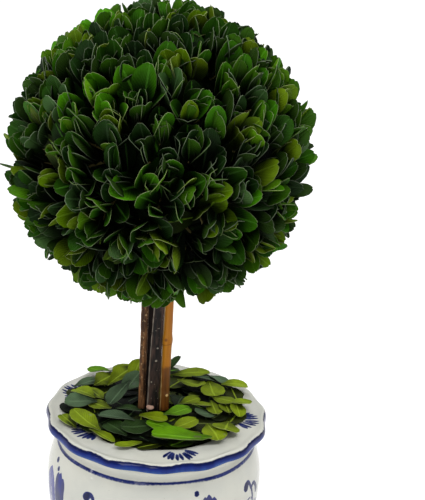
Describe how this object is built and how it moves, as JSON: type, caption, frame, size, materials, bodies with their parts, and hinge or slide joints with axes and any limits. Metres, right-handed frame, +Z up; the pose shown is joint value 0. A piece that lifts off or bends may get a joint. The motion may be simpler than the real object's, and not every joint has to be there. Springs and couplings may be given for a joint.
{
  "type": "potted preserved box topiary ball",
  "caption": "Clipped ball of preserved box leaves on a bundle of bare stems, in a glazed round pot with a scalloped rim and loose leaves heaped on top.",
  "frame": {"origin": "centre of the pot's flat underside", "axes": "+Z up along the pot's axis; -Y is the side the picture looks at, with the orange stem on the right (+X)"},
  "size_m": [0.1329, 0.1319, 0.2843],
  "materials": {
    "glaze": "gloss",
    "filling": "matte",
    "loose_leaves": "matte",
    "brown_bark": "matte",
    "dark_bark": "matte",
    "orange_wood": "satin",
    "ball_leaves": "matte"
  },
  "bodies": {
    "root": {"pot": "glaze", "pot_filling": "filling", "leaf_cover": "loose_leaves", "stem_left": "brown_bark", "stem_middle": "dark_bark", "stem_right": "orange_wood", "stem_back": "dark_bark", "foliage_ball": "ball_leaves"}
  },
  "joints": []
}
